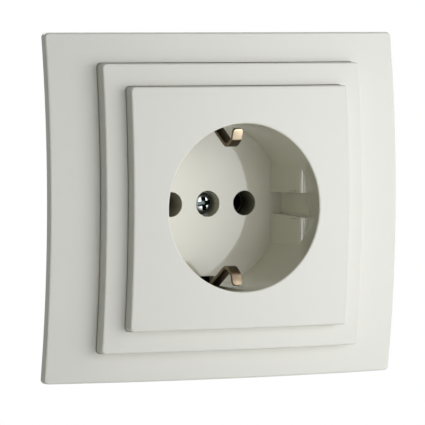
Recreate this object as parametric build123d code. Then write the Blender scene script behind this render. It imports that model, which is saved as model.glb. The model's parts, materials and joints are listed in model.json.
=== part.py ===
from build123d import *
from math import cos, radians, sin, sqrt
import os

# Flush wall socket with a round plug well, in a bowed frame.
# Millimetres. The origin is the socket's centre on the wall plane, +Z is up and the front faces -Y.
# A height in front of the wall is therefore -Y, and a depth behind it is +Y.

# Bowed fronts: those of frame, bezel and cover are parts of balls of one radius.
BOW_RADIUS = 240.0

# Outer frame
FRAME_WIDTH = 89.0
FRAME_HEIGHT = 79.6
FRAME_RISE = 9.55
FRAME_EDGE = 1.9
FRAME_CORNER = 1.1
FRAME_ROUNDING = 0.5
FRAME_LIP = 1.4
FRAME_LIP_REACH = 3.0
FRAME_SKIRT_WALL = 1.6
FRAME_SKIRT_INSET_SIDE = 4.0
FRAME_SKIRT_INSET_TOP = 0.3
FRAME_RIB = 1.2
FRAME_RIB_PITCH = 18.0

# Middle bezel
BEZEL_SIZE = 65.8
BEZEL_RISE = 12.55
BEZEL_WALL = 1.8
BEZEL_CORNER = 1.0
BEZEL_COLLAR = 1.5
BEZEL_LIP = 1.6
BEZEL_LIP_REACH = 2.8

# Cover plate
COVER_SIZE = 55.4
COVER_RISE = 15.35
COVER_WALL = 1.8
COVER_PLATE = 2.0
COVER_CORNER = 1.0
COVER_SKIRT = 9.8
COVER_RIB = 1.2
STEP_ROUNDING = 0.45

# Plug well
WELL_MOUTH = 38.4
WELL_FLOOR = 38.0
WELL_DEPTH = 19.9
MOUTH_ROUNDING = 0.35
CUP_WALL = 1.9
FLOOR_WALL = 2.5
FLAT_SPACING = 32.7
FLAT_LENGTH = 14.3
FLAT_DRAFT = 0.55
FLAT_ROUNDING = 1.2
GROOVE_WIDTH = 4.9
GROOVE_FLARE = 0.9
GROOVE_LENGTH = 11.9
GROOVE_DEPTH = 0.25

# Pins and the screw that holds the cover
PIN_SPACING = 19.0
PIN_HOLE = 5.8
PIN_TUBE_WALL = 1.35
PIN_TUBE_LENGTH = 6.3
SCREW_WELL = 6.1
SCREW_WELL_DEPTH = 4.1
BOSS_WALL = 1.3
BOSS_FLOOR = 1.4
COVER_SCREW_HEAD = 5.4
COVER_SCREW_HEAD_HEIGHT = 2.1
COVER_SCREW_THREAD = 3.0
COVER_SCREW_LENGTH = 9.5
BUSH_DIAMETER = 6.0
BUSH_LENGTH = 5.75

# Earth bridge: clip heights are measured from the well floor, and reaches from the socket's centre.
EARTH_STRIP = 0.8
EARTH_WIDTH = 2.4
BRIDGE_WIDTH = 8.0
BRIDGE_HALF_LENGTH = 12.0
CLIP_LEG_REACH = 20.0
CLIP_LEG_HEIGHT = 1.1
CLIP_NOSE_REACH = 13.6
CLIP_NOSE_HEIGHT = 11.8
CLIP_HOOK_REACH = 15.5
CLIP_HOOK_HEIGHT = 14.45
CLIP_TIP_REACH = 17.95
CLIP_TIP_HEIGHT = 15.25
CLIP_TIP_ROUNDING = 0.7
CLIP_BEND = 1.0
CLIP_NOSE_BEND = 2.4
CLIP_SLOT_WIDTH = 3.6
CLIP_SLOT_HEIGHT = 16.0
CLIP_SLOT_REACH = 16.8

# Live and neutral contacts, and the screw terminals on the back of the base
PIN_GRIP = 4.9
CONTACT_STRIP = 0.7
CONTACT_WIDTH = 5.0
CONTACT_LENGTH = 11.0
SLEEVE_SLIT = 1.2
TERMINAL_REACH = 11.0
EARTH_TAIL_REACH = 8.0
EARTH_TERMINAL_REACH = 13.5
PAD_WIDTH = 7.4
PAD_MARGIN = 4.5
CLAMP_PLATE = 1.2
CLAMP_FLANGE = 1.0
TERMINAL_THREAD = 3.5
TERMINAL_HEAD = 6.2
TERMINAL_HEAD_HEIGHT = 2.4
TERMINAL_SCREW_LENGTH = 7.0

# Base
BASE_RIM = 3.4
BASE_FLAT_WALL = 0.9
BASE_BACK_WALL = 2.5
BASE_EDGE = 1.0
BARRIER = 1.6
BARRIER_HEIGHT = 6.5
BARRIER_LEVEL = -1.5
BARRIER_HALF_LENGTH = 19.0

# Support ring, rivets and box screws
RING_SIZE = 71.0
RING_THICKNESS = 1.2
RING_CORNER = 7.0
BOX_SCREW_PITCH = 60.0
BOX_SLOT_WIDTH = 3.6
BOX_SLOT_LENGTH = 6.6
RIVET_SHANK = 2.0
RIVET_HEAD = 3.6
RIVET_HEAD_HEIGHT = 1.0
RIVET_DEPTH = 7.0
RIVET_ANGLE = 20.0

# Claws
CLAW_WIDTH = 10.0
CLAW_STRIP = 1.5
CLAW_LEVER = 3.1
CLAW_KNUCKLE = 3.8
CLAW_PIVOT_DEPTH = 2.75
CLAW_KNEE_DEPTH = 8.0
CLAW_HEEL_DEPTH = 18.0
CLAW_HEEL_INSET = 1.1
CLAW_TIP_DEPTH = 21.5
CLAW_TIP_REACH = 1.5
CLAW_BEND = 1.5
CLAW_TEETH = 4
CLAW_TOOTH_DEPTH = 1.2
CLAW_PIN = 2.0
CLAW_SCREW_THREAD = 3.0
CLAW_SCREW_HEAD = 5.2
CLAW_SCREW_HEAD_HEIGHT = 2.0
LUG_REACH = 2.2

# Fits
STEP_CLEARANCE = 0.15
CUP_CLEARANCE = 0.5
SEAT_CLEARANCE = 0.3
SLIDE_CLEARANCE = 0.2
THREAD_CLEARANCE = 0.05
RECESS_WIDTH_SHARE = 0.2
RECESS_SPAN_SHARE = 0.62
RECESS_DEPTH_SHARE = 0.6

# Planes along Y, from the front of the cover to the back of the base
RING_FRONT = -RING_THICKNESS
FRAME_LIP_FRONT = RING_FRONT - FRAME_LIP
COVER_CREST = -COVER_RISE
COVER_BACK = COVER_CREST + COVER_SKIRT
BEZEL_LIP_BACK = COVER_BACK + BEZEL_LIP
FLOOR_FRONT = COVER_CREST + WELL_DEPTH
FLOOR_BACK = FLOOR_FRONT + FLOOR_WALL
PIN_TUBE_BACK = FLOOR_FRONT + PIN_TUBE_LENGTH
SCREW_SEAT = FLOOR_FRONT + SCREW_WELL_DEPTH
BRIDGE_FRONT = SCREW_SEAT + BOSS_FLOOR
BRIDGE_BACK = BRIDGE_FRONT + EARTH_STRIP
CONTACT_FRONT = max(PIN_TUBE_BACK, BRIDGE_BACK) + SLIDE_CLEARANCE
CONTACT_BACK = CONTACT_FRONT + CONTACT_LENGTH
BASE_BACK = CONTACT_BACK + BASE_BACK_WALL

# Radii about Y, and places that follow from them
MOUTH_RADIUS = WELL_MOUTH / 2
FLOOR_RADIUS = WELL_FLOOR / 2
CUP_RADIUS = max(MOUTH_RADIUS, FLOOR_RADIUS) + CUP_WALL
RECESS_RADIUS = CUP_RADIUS + CUP_CLEARANCE
RING_HOLE_RADIUS = RECESS_RADIUS + SEAT_CLEARANCE
BASE_RADIUS = RECESS_RADIUS + BASE_RIM
BASE_FLAT = RECESS_RADIUS + BASE_FLAT_WALL
CLAW_SCREW_X = BASE_FLAT + CLAW_SCREW_THREAD / 2 + SLIDE_CLEARANCE
CLAW_PIVOT_X = CLAW_SCREW_X + CLAW_LEVER
PIN_TUBE = PIN_HOLE + 2 * PIN_TUBE_WALL
BOSS = SCREW_WELL + 2 * BOSS_WALL
SLEEVE_RADIUS = PIN_GRIP / 2 + CONTACT_STRIP
STRIP_LEVEL = (PIN_GRIP + CONTACT_STRIP) / 2
FRAME_OPENING = BEZEL_SIZE + 2 * STEP_CLEARANCE
BEZEL_OPENING = COVER_SIZE + 2 * STEP_CLEARANCE
LUG_INNER = CLAW_WIDTH / 2 + SEAT_CLEARANCE


def bow_drop(reach):
    """How far a bowed front lies behind its crest, at a distance from the socket's axis."""
    return BOW_RADIUS - sqrt(BOW_RADIUS**2 - reach**2)


def prism(sketch, front, back):
    """A sketch of the front view, taken through from depth front to depth back."""
    return extrude(Plane.XZ.offset(-back) * sketch, amount=back - front)


def side_prism(sketch, width):
    """A sketch of the side view (Y, Z), taken through width, evenly about the middle."""
    return extrude(Plane.YZ * sketch, amount=width / 2, both=True)


def top_prism(sketch, height):
    """A sketch of the plan view (X, Y), taken through height, evenly about the middle."""
    return extrude(Plane.XY * sketch, amount=height / 2, both=True)


def square(size):
    """A square sketch."""
    return Rectangle(size, size)


def rounded_opening(size, corner):
    """A square opening whose corners keep the step's clearance to the corners of the piece in it."""
    return RectangleRounded(size, size, corner + STEP_CLEARANCE)


def at(x, z, sketch):
    """A front view sketch moved to a place."""
    return Pos(x, z) * sketch


def bowed_block(width, height, crest, back):
    """A plain block with a bowed front and a flat back."""
    ball = Pos(0, crest + BOW_RADIUS, 0) * Sphere(BOW_RADIUS)
    return prism(Rectangle(width, height), crest, back) & ball


def rounded_front(block, corner, rounding):
    """The block with its four long edges and then its front edge rounded."""
    block = fillet(block.edges().filter_by(Axis.Y), corner)
    front = block.faces().sort_by(Axis.Y)[0]
    return fillet(front.edges(), rounding)


def revolved(points):
    """A closed outline of (radius, depth) points, turned about the socket's axis."""
    return revolve(Plane.XY * make_face(Polyline(*points, close=True)), axis=Axis.Y)


def strip(points, radius, thickness, width):
    """A bent strip: a side view centre line with rounded bends, thickened and given a width."""
    return side_prism(trace(FilletPolyline(*points, radius=radius), thickness), width)


def cross_recess(head, top, height):
    """The cross-shaped hole in a screw head that faces the front, with its top at depth top."""
    wide = head * RECESS_WIDTH_SHARE
    span = head * RECESS_SPAN_SHARE
    deep = height * RECESS_DEPTH_SHARE
    cross = Rectangle(span, wide) + Rectangle(wide, span)
    return prism(cross, top, top + deep)


def make_outer_frame():
    """Shell that meets the wall at top and bottom and arches off it at the sides, with skirt and lip."""
    half = FRAME_HEIGHT / 2
    crest = -FRAME_RISE
    side_front = crest + bow_drop(FRAME_WIDTH / 2)
    plate = rounded_front(bowed_block(FRAME_WIDTH, FRAME_HEIGHT, crest, 0), FRAME_CORNER, FRAME_ROUNDING)
    arch = ThreePointArc((0, -half), (side_front + FRAME_EDGE, 0), (0, half))
    hollow = side_prism(make_face([arch, Line((0, half), (0, -half))]), FRAME_WIDTH)
    shell_width = FRAME_WIDTH - 2 * FRAME_EDGE
    shell_height = FRAME_HEIGHT - 2 * FRAME_EDGE
    hollow += bowed_block(shell_width, shell_height, crest + FRAME_EDGE, 0)
    inside = bowed_block(FRAME_WIDTH, FRAME_HEIGHT, crest + FRAME_EDGE / 2, 0)

    skirt_width = FRAME_WIDTH - 2 * FRAME_SKIRT_INSET_SIDE
    skirt_height = FRAME_HEIGHT - 2 * FRAME_SKIRT_INSET_TOP
    skirt = Rectangle(skirt_width, skirt_height)
    skirt -= Rectangle(skirt_width - 2 * FRAME_SKIRT_WALL, skirt_height - 2 * FRAME_SKIRT_WALL)
    collar = FRAME_OPENING + 2 * FRAME_SKIRT_WALL

    frame = plate - hollow
    frame += prism(skirt, crest, 0) & inside
    frame += prism(square(collar), crest, RING_FRONT) & inside
    rib_length = (skirt_width - collar) / 2
    for side in (-1, 1):
        for row in (-1, 0, 1):
            place = side * (collar + rib_length) / 2
            rib = at(place, row * FRAME_RIB_PITCH, Rectangle(rib_length, FRAME_RIB))
            frame += prism(rib, crest, RING_FRONT) & inside
    frame -= prism(rounded_opening(FRAME_OPENING, BEZEL_CORNER), crest, FRAME_LIP_FRONT)
    frame -= prism(square(FRAME_OPENING - 2 * FRAME_LIP_REACH), crest, 0)
    frame -= prism(square(RING_SIZE + 2 * SEAT_CLEARANCE), RING_FRONT, 0)
    return frame


def make_middle_bezel():
    """Square step: its outer wall stands on the frame's lip, and its own lip carries the cover."""
    crest = -BEZEL_RISE
    body = bowed_block(BEZEL_SIZE, BEZEL_SIZE, crest, FRAME_LIP_FRONT)
    body = rounded_front(body, BEZEL_CORNER, STEP_ROUNDING)
    inner = BEZEL_SIZE - 2 * BEZEL_WALL
    body -= bowed_block(inner, inner, crest + BEZEL_WALL, FRAME_LIP_FRONT)
    collar = bowed_block(inner, inner, crest + BEZEL_WALL / 2, BEZEL_LIP_BACK)
    body += prism(square(BEZEL_OPENING + 2 * BEZEL_COLLAR), crest, BEZEL_LIP_BACK) & collar
    body -= prism(rounded_opening(BEZEL_OPENING, COVER_CORNER), crest, COVER_BACK)
    body -= prism(square(BEZEL_OPENING - 2 * BEZEL_LIP_REACH), crest, FRAME_LIP_FRONT)
    return body


def make_well_pads(cup):
    """The two drafted side flats of the well, rounded at their front end, as solids inside the cup."""
    pads = Part()
    for side in (-1, 1):
        front = FLOOR_FRONT - FLAT_LENGTH
        root = (side * FLAT_SPACING / 2, FLOOR_FRONT)
        head = (side * (FLAT_SPACING / 2 + FLAT_DRAFT), front)
        wall_head = (side * CUP_RADIUS, front)
        wall_root = (side * CUP_RADIUS, FLOOR_FRONT)
        outline = make_face(Polyline(root, head, wall_head, wall_root, close=True))
        corner = outline.vertices().sort_by_distance((*head, 0))[0]
        outline = fillet(corner, FLAT_ROUNDING)
        pads += top_prism(outline, WELL_MOUTH) & cup
    return pads


def make_grooves():
    """The groove along each flat: it flares to the front and is deeper than the well's wall."""
    front = FLOOR_FRONT - GROOVE_LENGTH
    slope = (MOUTH_RADIUS - FLOOR_RADIUS) / WELL_DEPTH
    inner = FLAT_SPACING / 2 - FLAT_ROUNDING
    deep_front = FLOOR_RADIUS + slope * GROOVE_LENGTH + GROOVE_DEPTH
    tall = GROOVE_WIDTH + GROOVE_FLARE
    grooves = Part()
    for side in (-1, 1):
        outline = Polyline(
            (side * inner, FLOOR_FRONT),
            (side * FLOOR_RADIUS, FLOOR_FRONT),
            (side * deep_front, front),
            (side * inner, front),
            close=True,
        )
        grooves += top_prism(make_face(outline), tall)
        lead = at(side * (inner + FLOOR_RADIUS) / 2, 0, Rectangle(FLOOR_RADIUS - inner, tall))
        grooves += prism(lead, FLOOR_FRONT - FLAT_LENGTH, front)
    root = GROOVE_WIDTH / 2
    mouth = tall / 2
    end = FLOOR_FRONT - FLAT_LENGTH
    flare = Polyline((FLOOR_FRONT, -root), (FLOOR_FRONT, root), (end, mouth), (end, -mouth), close=True)
    return grooves & side_prism(make_face(flare), WELL_MOUTH)


def make_socket_cover():
    """Cover plate and plug well in one moulding, with pin tubes, screw boss and clip slots."""
    block = bowed_block(COVER_SIZE, COVER_SIZE, COVER_CREST, COVER_BACK)
    body = rounded_front(block, COVER_CORNER, STEP_ROUNDING)
    inner = COVER_SIZE - 2 * COVER_WALL
    body -= bowed_block(inner, inner, COVER_CREST + COVER_PLATE, COVER_BACK)

    behind_front = bowed_block(inner, inner, COVER_CREST + COVER_PLATE / 2, FLOOR_BACK)
    foot = FLOOR_RADIUS + CUP_WALL
    cup = revolved([(0, COVER_CREST), (CUP_RADIUS, COVER_CREST), (foot, FLOOR_BACK), (0, FLOOR_BACK)])
    body += cup & behind_front
    for turn in (45, 135):
        rib = Rot(0, 0, turn) * Rectangle(COVER_SIZE * sqrt(2), COVER_RIB)
        body += prism(rib, COVER_CREST, (COVER_CREST + COVER_BACK) / 2) & behind_front

    mouth = (MOUTH_RADIUS, COVER_CREST)
    root = (FLOOR_RADIUS, FLOOR_FRONT)
    body -= revolved([(0, COVER_CREST), mouth, root, (0, FLOOR_FRONT)])
    front = body.faces().sort_by(Axis.Y)[0]
    body = fillet(front.inner_wires()[0].edges(), MOUTH_ROUNDING)

    body += make_well_pads(cup)
    body -= make_grooves()

    for side in (-1, 1):
        body += prism(at(side * PIN_SPACING / 2, 0, Circle(PIN_TUBE / 2)), FLOOR_BACK, PIN_TUBE_BACK)
    body += prism(Circle(BOSS / 2), FLOOR_BACK, BRIDGE_FRONT)
    for side in (-1, 1):
        body -= prism(at(side * PIN_SPACING / 2, 0, Circle(PIN_HOLE / 2)), FLOOR_FRONT, PIN_TUBE_BACK)
    body -= prism(Circle(SCREW_WELL / 2), FLOOR_FRONT, SCREW_SEAT)
    body -= prism(Circle(COVER_SCREW_THREAD / 2 + SLIDE_CLEARANCE), SCREW_SEAT, BRIDGE_FRONT)

    slot_length = CUP_RADIUS - CLIP_SLOT_REACH
    for side in (-1, 1):
        slot = at(0, side * (CLIP_SLOT_REACH + slot_length / 2), Rectangle(CLIP_SLOT_WIDTH, slot_length))
        body -= prism(slot, FLOOR_FRONT - CLIP_SLOT_HEIGHT, FLOOR_BACK)
    return body


def make_cover_screw():
    """Pan-head screw with a cross recess; its head stands in the cover's screw well."""
    top = SCREW_SEAT - COVER_SCREW_HEAD_HEIGHT
    head = prism(Circle(COVER_SCREW_HEAD / 2), top, SCREW_SEAT)
    head = fillet(head.edges().group_by(Axis.Y)[0], COVER_SCREW_HEAD_HEIGHT / 3)
    screw = head + prism(Circle(COVER_SCREW_THREAD / 2), SCREW_SEAT, SCREW_SEAT + COVER_SCREW_LENGTH)
    return screw - cross_recess(COVER_SCREW_HEAD, top, COVER_SCREW_HEAD_HEIGHT)


def make_cover_screw_bush():
    """Threaded bush behind the earth bridge."""
    ring = Circle(BUSH_DIAMETER / 2) - Circle(COVER_SCREW_THREAD / 2 + THREAD_CLEARANCE)
    return prism(ring, BRIDGE_BACK, BRIDGE_BACK + BUSH_LENGTH)


def make_terminal_strip(level, reach, start, thickness, width):
    """Strip that runs back through the base and folds onto its rear face as a screw pad."""
    way = 1 if reach > level else -1
    pad_end = reach + way * PAD_MARGIN
    middle = BASE_BACK + thickness / 2
    run = strip([(start, level), (middle, level), (middle, pad_end)], [thickness], thickness, width)
    pad = Rectangle(PAD_WIDTH, 2 * PAD_MARGIN)
    run += prism(at(0, reach, pad), BASE_BACK, BASE_BACK + thickness)
    hole = at(0, reach, Circle(TERMINAL_THREAD / 2 + THREAD_CLEARANCE))
    return run - prism(hole, BASE_BACK, BASE_BACK + thickness)


def make_pin_contact(side):
    """Split sleeve that grips one plug pin, with a strip to its terminal."""
    ring = Circle(SLEEVE_RADIUS) - Circle(PIN_GRIP / 2)
    ring -= at(0, -SLEEVE_RADIUS, Rectangle(SLEEVE_SLIT, PIN_GRIP))
    contact = prism(ring, CONTACT_FRONT, CONTACT_BACK)
    contact += make_terminal_strip(STRIP_LEVEL, TERMINAL_REACH, CONTACT_FRONT, CONTACT_STRIP, CONTACT_WIDTH)
    return Pos(side * PIN_SPACING / 2, 0, 0) * contact


def clip_line():
    """Side view centre line of the earth strip from the upper clip's tip to the lower one's."""
    upper = [
        (FLOOR_FRONT - CLIP_TIP_HEIGHT, CLIP_TIP_REACH),
        (FLOOR_FRONT - CLIP_HOOK_HEIGHT, CLIP_HOOK_REACH),
        (FLOOR_FRONT - CLIP_NOSE_HEIGHT, CLIP_NOSE_REACH),
        (FLOOR_FRONT - CLIP_LEG_HEIGHT, CLIP_LEG_REACH),
        (BRIDGE_FRONT + EARTH_STRIP / 2, CLIP_LEG_REACH),
    ]
    lower = [(y, -z) for y, z in reversed(upper)]
    return upper + lower


def make_clips():
    """The bent strip with a clip at each end, whose tips have rounded corners."""
    clip_bends = [CLIP_BEND, CLIP_NOSE_BEND, CLIP_BEND, CLIP_BEND]
    line = clip_line()
    clips = strip(line, clip_bends + clip_bends[::-1], EARTH_STRIP, EARTH_WIDTH)
    tip_edges = []
    for y, z in (line[0], line[-1]):
        for side in (-1, 1):
            corner = (side * EARTH_WIDTH / 2, y, z)
            tip_edges.append(clips.edges().sort_by_distance(corner)[0])
    return fillet(tip_edges, CLIP_TIP_ROUNDING)


def make_earth_bridge():
    """Both clips on one strip that widens in the middle, with a tail to the earth terminal."""
    bridge = make_clips()
    bridge += prism(Rectangle(BRIDGE_WIDTH, 2 * BRIDGE_HALF_LENGTH), BRIDGE_FRONT, BRIDGE_BACK)
    middle = BRIDGE_FRONT + EARTH_STRIP / 2
    tail = (-EARTH_TAIL_REACH, -EARTH_TERMINAL_REACH)
    bridge += make_terminal_strip(*tail, middle, EARTH_STRIP, CONTACT_WIDTH)
    return bridge - prism(Circle(COVER_SCREW_THREAD / 2 + SLIDE_CLEARANCE), BRIDGE_FRONT, BRIDGE_BACK)


def make_clamp_plate(x, z, strip_thickness):
    """Plate under a terminal screw, with a turned-in flange on each side of the pad."""
    front = BASE_BACK + strip_thickness
    width = PAD_WIDTH + 2 * SLIDE_CLEARANCE + 2 * CLAMP_FLANGE
    plate = prism(at(x, z, Rectangle(width, 2 * PAD_MARGIN - SEAT_CLEARANCE)), front, front + CLAMP_PLATE)
    for side in (-1, 1):
        place = x + side * (width - CLAMP_FLANGE) / 2
        flange = at(place, z, Rectangle(CLAMP_FLANGE, 2 * PAD_MARGIN - SEAT_CLEARANCE))
        plate += prism(flange, BASE_BACK + SEAT_CLEARANCE, front)
    return plate - prism(at(x, z, Circle(TERMINAL_THREAD / 2 + SLIDE_CLEARANCE)), front, front + CLAMP_PLATE)


def make_terminal_screw(x, z, strip_thickness):
    """Slotted screw whose head presses on a clamp plate and whose end stands in the base."""
    seat = BASE_BACK + strip_thickness + CLAMP_PLATE
    top = seat + TERMINAL_HEAD_HEIGHT
    screw = prism(Circle(TERMINAL_HEAD / 2), seat, top)
    screw += prism(Circle(TERMINAL_THREAD / 2), seat - TERMINAL_SCREW_LENGTH, seat)
    slot = Rectangle(TERMINAL_HEAD, TERMINAL_HEAD * RECESS_WIDTH_SHARE)
    screw -= prism(slot, top - TERMINAL_HEAD_HEIGHT / 2, top)
    return Pos(x, 0, z) * screw


def terminal_places():
    """Name, place and strip thickness of each terminal."""
    return [
        ("live", -PIN_SPACING / 2, TERMINAL_REACH, CONTACT_STRIP),
        ("neutral", PIN_SPACING / 2, TERMINAL_REACH, CONTACT_STRIP),
        ("earth", 0, -EARTH_TERMINAL_REACH, EARTH_STRIP),
    ]


def rivet_places():
    """Front view places of the four rivets, in the middle of the base's rim."""
    radius = (RECESS_RADIUS + BASE_RADIUS) / 2
    across = radius * sin(radians(RIVET_ANGLE))
    up = radius * cos(radians(RIVET_ANGLE))
    return [(sx * across, sz * up) for sx in (-1, 1) for sz in (-1, 1)]


def make_contact_base():
    """Insulating block with a rim round the cup, pockets for the contacts and barriers between terminals."""
    body = prism(Circle(BASE_RADIUS) & Rectangle(2 * BASE_FLAT, 2 * BASE_RADIUS), 0, BASE_BACK)
    body = chamfer(body.edges().group_by(Axis.Y)[-1], BASE_EDGE)
    barrier_back = BASE_BACK + BARRIER_HEIGHT
    level = at(0, BARRIER_LEVEL, Rectangle(2 * BARRIER_HALF_LENGTH, BARRIER))
    upright_length = BARRIER_HALF_LENGTH - BARRIER_LEVEL
    upright = at(0, BARRIER_LEVEL + upright_length / 2, Rectangle(BARRIER, upright_length))
    body += prism(level + upright, BASE_BACK, barrier_back)

    body -= prism(Circle(RECESS_RADIUS), 0, FLOOR_BACK)
    pocket = PIN_TUBE + 2 * SEAT_CLEARANCE
    body -= prism(SlotOverall(PIN_SPACING + pocket, pocket), FLOOR_BACK, CONTACT_FRONT)
    channel_half = CLIP_LEG_REACH + EARTH_STRIP / 2 + SEAT_CLEARANCE
    body -= prism(Rectangle(BRIDGE_WIDTH + 2 * SEAT_CLEARANCE, 2 * channel_half), FLOOR_BACK, BRIDGE_BACK)
    body -= prism(Circle(BUSH_DIAMETER / 2 + SLIDE_CLEARANCE), BRIDGE_BACK, BRIDGE_BACK + BUSH_LENGTH)
    screw_end = SCREW_SEAT + COVER_SCREW_LENGTH + SEAT_CLEARANCE
    body -= prism(Circle(COVER_SCREW_THREAD / 2 + SEAT_CLEARANCE), BRIDGE_BACK, screw_end)

    slot_width = CONTACT_WIDTH + 2 * SLIDE_CLEARANCE
    for side in (-1, 1):
        x = side * PIN_SPACING / 2
        body -= prism(at(x, 0, Circle(SLEEVE_RADIUS + SLIDE_CLEARANCE)), FLOOR_BACK, CONTACT_BACK)
        slot = Rectangle(slot_width, 2 * CONTACT_STRIP + 2 * SLIDE_CLEARANCE)
        body -= prism(at(x, STRIP_LEVEL, slot), FLOOR_BACK, BASE_BACK)
    tail = Rectangle(slot_width, 2 * EARTH_STRIP + 2 * SLIDE_CLEARANCE)
    body -= prism(at(0, -EARTH_TAIL_REACH, tail), BRIDGE_FRONT, BASE_BACK)

    for _, x, z, thickness in terminal_places():
        deep = TERMINAL_SCREW_LENGTH - thickness - CLAMP_PLATE + SEAT_CLEARANCE
        body -= prism(at(x, z, Circle(TERMINAL_THREAD / 2 + SLIDE_CLEARANCE)), BASE_BACK - deep, BASE_BACK)
    for x, z in rivet_places():
        body -= prism(at(x, z, Circle(RIVET_SHANK / 2 + THREAD_CLEARANCE)), 0, RIVET_DEPTH)
    return body


def make_lug_pair(x, outer):
    """Two lugs above and below a claw, out to height outer, with a hole for its pin."""
    pivot = Pos(x, CLAW_PIVOT_DEPTH)
    root = Rectangle(2 * LUG_REACH, CLAW_PIVOT_DEPTH - RING_FRONT)
    outline = pivot * Circle(LUG_REACH) + Pos(x, (RING_FRONT + CLAW_PIVOT_DEPTH) / 2) * root
    outline -= pivot * Circle(CLAW_PIN / 2 + THREAD_CLEARANCE)
    return top_prism(outline, 2 * outer) - top_prism(outline, 2 * LUG_INNER)


def make_support_ring():
    """Steel plate on the wall, with slots for box screws and lugs bent back to carry the claws."""
    plate = RectangleRounded(RING_SIZE, RING_SIZE, RING_CORNER) - Circle(RING_HOLE_RADIUS)
    for side in (-1, 1):
        slot = Rot(0, 0, 90) * SlotOverall(BOX_SLOT_LENGTH, BOX_SLOT_WIDTH)
        plate -= at(0, side * BOX_SCREW_PITCH / 2, slot)
        plate -= at(side * CLAW_SCREW_X, 0, Circle(CLAW_SCREW_THREAD / 2 + THREAD_CLEARANCE))
    for x, z in rivet_places():
        plate -= at(x, z, Circle(RIVET_SHANK / 2 + THREAD_CLEARANCE))

    lug_end = CLAW_PIVOT_DEPTH + LUG_REACH
    lug_outer = LUG_INNER + RING_THICKNESS
    window = Rectangle(2 * LUG_REACH, lug_end)
    lugs = Part()
    for side in (-1, 1):
        x = side * CLAW_PIVOT_X
        lugs += make_lug_pair(x, lug_outer)
        for end in (-1, 1):
            plate -= at(x, end * (lug_outer + lug_end / 2), window)
    return prism(plate, RING_FRONT, 0) + lugs


def make_ring_rivets():
    """The four rivets that hold the ring to the base's rim."""
    rivets = []
    for x, z in rivet_places():
        head = prism(at(x, z, Circle(RIVET_HEAD / 2)), RING_FRONT - RIVET_HEAD_HEIGHT, RING_FRONT)
        head = fillet(head.edges().group_by(Axis.Y)[0], RIVET_HEAD_HEIGHT / 2)
        rivets.append(head + prism(at(x, z, Circle(RIVET_SHANK / 2)), RING_FRONT, RIVET_DEPTH))
    return Compound(children=rivets)


def make_claw(side):
    """Bell-crank claw: a lever under the claw screw, a knuckle on the pin and a toothed leg."""
    knee = CLAW_PIVOT_X
    heel = CLAW_PIVOT_X - CLAW_HEEL_INSET
    line = FilletPolyline(
        (CLAW_PIVOT_X, CLAW_PIVOT_DEPTH),
        (knee, CLAW_KNEE_DEPTH),
        (heel, CLAW_HEEL_DEPTH),
        (CLAW_PIVOT_X + CLAW_TIP_REACH, CLAW_TIP_DEPTH),
        radius=[CLAW_BEND, CLAW_BEND],
    )
    lever_end = BASE_FLAT + 2 * SLIDE_CLEARANCE
    lever = Rectangle(CLAW_PIVOT_X - lever_end, CLAW_STRIP)
    outline = trace(line, CLAW_STRIP) + Pos((CLAW_PIVOT_X + lever_end) / 2, CLAW_PIVOT_DEPTH) * lever
    outline += Pos(CLAW_PIVOT_X, CLAW_PIVOT_DEPTH) * Circle(CLAW_KNUCKLE / 2)
    outline -= Pos(CLAW_PIVOT_X, CLAW_PIVOT_DEPTH) * Circle(CLAW_PIN / 2 + THREAD_CLEARANCE)
    claw = top_prism(outline, CLAW_WIDTH)

    pitch = CLAW_WIDTH / CLAW_TEETH
    tip = CLAW_PIVOT_X + CLAW_TIP_REACH + CLAW_STRIP / 2
    for tooth in range(CLAW_TEETH - 1):
        z = (tooth + 1) * pitch - CLAW_WIDTH / 2
        notch = Polyline(
            (tip, z - pitch / 2),
            (tip - CLAW_TOOTH_DEPTH - CLAW_STRIP, z),
            (tip, z + pitch / 2),
            close=True,
        )
        claw -= prism(make_face(notch), CLAW_HEEL_DEPTH, CLAW_TIP_DEPTH + CLAW_STRIP)
    if side < 0:
        claw = mirror(claw, Plane.YZ)
    return claw


def make_claw_pin(side):
    """Hinge pin of one claw, held in the ring's lugs."""
    length = 2 * (LUG_INNER + RING_THICKNESS)
    return top_prism(Pos(side * CLAW_PIVOT_X, CLAW_PIVOT_DEPTH) * Circle(CLAW_PIN / 2), length)


def make_claw_screw(side):
    """Screw through the ring whose end stands just clear of the claw's lever."""
    head_front = RING_FRONT - CLAW_SCREW_HEAD_HEIGHT
    end = CLAW_PIVOT_DEPTH - CLAW_STRIP / 2 - SEAT_CLEARANCE
    head = prism(Circle(CLAW_SCREW_HEAD / 2), head_front, RING_FRONT)
    head = fillet(head.edges().group_by(Axis.Y)[0], CLAW_SCREW_HEAD_HEIGHT / 3)
    screw = head + prism(Circle(CLAW_SCREW_THREAD / 2), RING_FRONT, end)
    screw -= cross_recess(CLAW_SCREW_HEAD, head_front, CLAW_SCREW_HEAD_HEIGHT)
    return Pos(side * CLAW_SCREW_X, 0, 0) * screw


def make_pieces():
    """Every piece of the socket by name."""
    pieces = {
        "outer_frame": make_outer_frame(),
        "middle_bezel": make_middle_bezel(),
        "socket_cover": make_socket_cover(),
        "cover_screw": make_cover_screw(),
        "cover_screw_bush": make_cover_screw_bush(),
        "support_ring": make_support_ring(),
        "ring_rivets": make_ring_rivets(),
        "contact_base": make_contact_base(),
        "live_contact": make_pin_contact(-1),
        "neutral_contact": make_pin_contact(1),
        "earth_bridge": make_earth_bridge(),
    }
    for name, x, z, thickness in terminal_places():
        pieces[f"{name}_clamp_plate"] = make_clamp_plate(x, z, thickness)
        pieces[f"{name}_terminal_screw"] = make_terminal_screw(x, z, thickness)
    for name, side in (("left", -1), ("right", 1)):
        pieces[f"{name}_claw"] = make_claw(side)
        pieces[f"{name}_claw_pin"] = make_claw_pin(side)
        pieces[f"{name}_claw_screw"] = make_claw_screw(side)
    return pieces


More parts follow.
